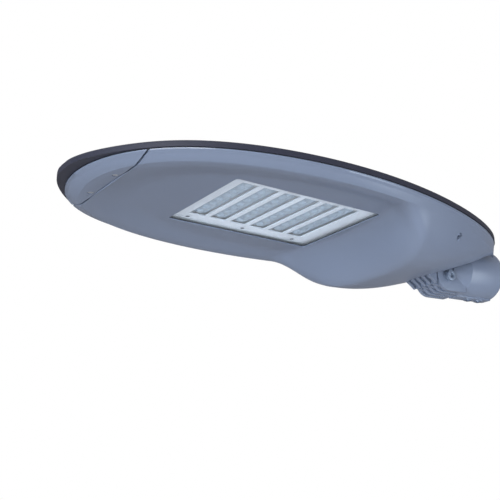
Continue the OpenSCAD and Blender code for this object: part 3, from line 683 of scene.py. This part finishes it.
# the rim under the split line is glossier than the casting: edgeGloss is 1 on the points that lie
# on the outline itself, found by their distance to it
def markRim(obj):
    points = np.empty(3 * len(obj.data.vertices))
    obj.data.vertices.foreach_get("co", points)
    points = points.reshape(-1, 3) * 1000 + [layout["mouthX"], 0.0, layout["mouthZ"]]
    a = np.degrees(np.arccos(np.clip((midX - points[:, 0]) / halfLen, -1, 1)))
    onRim = np.abs(halfWidth(a) - np.abs(points[:, 1])) < seam["nearRim"]
    gloss = obj.data.attributes.new("edgeGloss", "FLOAT", "POINT")
    gloss.data.foreach_set("value", onRim.astype(float))


# the nose cap's seam is widest on the flanks and closes up under the middle
def seamHalf(s):
    aside = np.abs(np.asarray(s) - 2.0)
    return seam["closed"] + seam["open"] * ease((aside - seam["start"]) / seam["run"])


stations = np.linspace(0, 1, seam["stations"])
housingOuter = skin(sectionSteps, stations, 0.0, startX=body["seamX"] + seamHalf(sectionSteps))
housingInner = skin(sectionSteps[::4], stations, body["wall"], startX=body["seamX"] + seam["behind"],
                    last=176.0)
housingVerts, housingFaces = shellMesh(toFrame(housingOuter), toFrame(housingInner))
housingSkin = meshObject("housingSkin", housingVerts, housingFaces, "bodyPaint")
recalc(housingSkin)
cutAway(housingSkin, shellHoles, "shellCut")
print("housing shell", len(housingSkin.data.polygons))
castVerts, castFaces = joinShapes(castingWalls())
casting = meshObject("casting", castVerts, castFaces, "bodyPaint")
recalc(casting)
cutAway(casting, wallHoles, "wallCut")
whole = bmesh.new()
whole.from_mesh(housingSkin.data)
whole.from_mesh(casting.data)
whole.to_mesh(housingSkin.data)
whole.free()
bpy.data.objects.remove(casting)
smoothShade(housingSkin)
markRim(housingSkin)
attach(housingSkin, "head")
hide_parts("housing")
print("housing skin", len(housingSkin.data.polygons))

stations = np.linspace(0, 1, seam["capStations"])
capEnd = body["seamX"] - seamHalf(sectionSteps)
capOuter = skin(sectionSteps, stations, 0.0, endX=capEnd)
capInner = skin(sectionSteps, stations, body["wall"], first=3.0, endX=capEnd)
capVerts, capFaces = shellMesh(toFrame(capOuter), toFrame(capInner), openEnd=True)
noseSkin = meshObject("noseSkin", capVerts, capFaces, "bodyPaint")
recalc(noseSkin)
noseFloor = float(floorAt(*posts["nose"])) + body["wall"]
cutAway(noseSkin, bothSides(holeDown(*posts["nose"], holes["noseScrew"], noseFloor - 5, noseFloor + 2))
        + bothSides(holeDown(*posts["nose"], holes["noseHead"], noseFloor - 5, noseFloor - 1)), "capCut")
smoothShade(noseSkin)
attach(noseSkin, "head")
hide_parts("nose_cap")
print("nose skin", len(noseSkin.data.polygons))


# a CAD node's own mesh, merged and with its edges rounded; parts of one casting keep their places
def softened(nodeName, bodyName, width, segments=2, angle=35.0):
    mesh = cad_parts[nodeName].data.copy()
    work = bmesh.new()
    work.from_mesh(mesh)
    bmesh.ops.remove_doubles(work, verts=work.verts, dist=2e-6)
    bmesh.ops.dissolve_limit(work, angle_limit=math.radians(1.0), verts=work.verts, edges=work.edges)
    work.to_mesh(mesh)
    work.free()
    obj = bpy.data.objects.new(nodeName + "Soft", mesh)
    bpy.context.scene.collection.objects.link(obj)
    softEdges(obj, width, segments, angle)
    smoothShade(obj, 32.0)
    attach(obj, bodyName)
    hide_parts(nodeName)


softened("spigot", "spigot", 1.4, 3)
softened("tilt_bolt", "spigot", 0.6)
softened("tilt_nut", "spigot", 0.6)
softened("socket_screws", "spigot", 0.4)
softened("slot_plate", "head", 0.5)
print("softened castings")

cover = dict(t=2.5, bandH=7.5, domeH=28.0, noseOver=15.0, sideOver=1.2, seal=1.0, power=50.0, edgeR=2.0,
             ledge=0.5, across=81, stations=241, reach=88.5, slotGap=2.4, notchGap=1.0)


# how far the cover stands out over the split line, with the beak at the nose
def overhang(a):
    beak = cover["noseOver"] - cover["sideOver"]
    return cover["sideOver"] + beak * ((1 + cosD(a)) / 2) ** cover["power"]


# band: up from the seal, rounded in at the top by a quarter circle of radius r
def coverOuter(a, k):
    r = cover["edgeR"]
    z0 = rimZ(inset(a, -overhang(a))[0])
    turn = np.clip((k - 0.5) * 2, 0, 1) * 90
    d = -overhang(a) + r * (1 - cosD(turn))
    x, y = inset(a, d)
    straight = np.clip(k * 2, 0, 1)
    z = z0 + cover["seal"] + (cover["bandH"] - r) * straight + r * sinD(turn)
    return np.stack([x, y, z], -1)


# dome over the band, drop is the distance of the inner skin below it
def coverDome(a, v, drop):
    d = -overhang(a) + (cover["edgeR"] if drop == 0 else cover["t"])
    x, y = inset(a, d)
    x = x + 0 * v
    t = np.minimum(1, np.abs(x - midX) / (halfLen + cover["sideOver"]))
    z = rimZ(x) + cover["seal"] + cover["bandH"] + cover["domeH"] * (1 - t * t) * (1 - v * v) - drop
    return np.stack([x, y * v, z], -1)


# inside of the band: the seal's ledge, a step up and the wall
def coverInnerEdge(a, k):
    d = np.where(k < 0.5, body["wall"] + cover["ledge"], cover["t"] - overhang(a))
    x, y = inset(a, d)
    step = np.where(k < 0.25, 0, np.where(k < 0.75, cover["t"], cover["bandH"] - cover["t"]))
    z = rimZ(x) + cover["seal"] + step
    return np.stack([x, y, z], -1)


def coverSkins(angles):
    a = np.asarray(angles)[:, None]
    k = np.linspace(0, 1, 9)[None, :]
    v = np.linspace(1, -1, cover["across"])[None, 1:-1]
    ones = np.ones((len(angles), 1))
    outerSide = coverOuter(a * np.ones_like(k), k * ones)
    outer = np.concatenate([outerSide, coverDome(a * np.ones_like(v), v * ones, 0.0),
                            outerSide[:, ::-1] * [1, -1, 1]], 1)
    k = np.array([0.0, 0.3, 0.6, 1.0])[None, :]
    innerSide = coverInnerEdge(a * np.ones_like(k), k * ones)
    v = v[:, ::2]
    inner = np.concatenate([innerSide, coverDome(a * np.ones_like(v), v * ones, cover["t"]),
                            innerSide[:, ::-1] * [1, -1, 1]], 1)
    return outer, inner


# stations closer together at the nose and the tail, where the outline turns
coverAngles = 90 - cover["reach"] * np.cos(np.linspace(0, math.pi, cover["stations"]))
coverVerts, coverFaces = shellMesh(*[toFrame(g) for g in coverSkins(coverAngles)])
# the CAD's own box is the limit
coverVerts = np.clip(coverVerts, np.array(cadBox[0]), np.array(cadBox[1]))
coverSkin = meshObject("coverSkin", coverVerts, coverFaces, "coverPaint")
recalc(coverSkin)
notch = slot["half"] + body["wall"] + cover["notchGap"]
notchTop = slot["roof"] + cover["slotGap"]
cutAway(coverSkin, [block(layout["pinX"], slot["past"], -notch, notch, -60, notchTop)], "coverCut")
smoothShade(coverSkin)
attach(coverSkin, "head")
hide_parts("top_cover")
print("cover skin", len(coverSkin.data.polygons))

# the floor glows for camera rays only, so it stays pale and lights nothing
stage = dict(half=60.0, z=-1.3, glow=0.62)
floorMesh = bpy.data.meshes.new("floor")
floorMesh.from_pydata([(sx * stage["half"], sy * stage["half"], stage["z"])
                       for sx, sy in ((-1, -1), (1, -1), (1, 1), (-1, 1))], [], [(0, 1, 2, 3)])
floorMat, floorNodes, floorLinks, floorShader = newMaterial("paleFloor", (0.80, 0.80, 0.80), 0.8)
floorShader.inputs["Emission Color"].default_value = (1, 1, 1, 1)
floorRays = floorNodes.new("ShaderNodeLightPath")
glow = floorNodes.new("ShaderNodeMath")
glow.operation = "MULTIPLY"
glow.inputs[1].default_value = stage["glow"]
floorLinks.new(floorRays.outputs["Is Camera Ray"], glow.inputs[0])
floorLinks.new(glow.outputs[0], floorShader.inputs["Emission Strength"])
floorMesh.materials.append(floorMat)
floorObj = bpy.data.objects.new("floor", floorMesh)
sceneNow.collection.objects.link(floorObj)
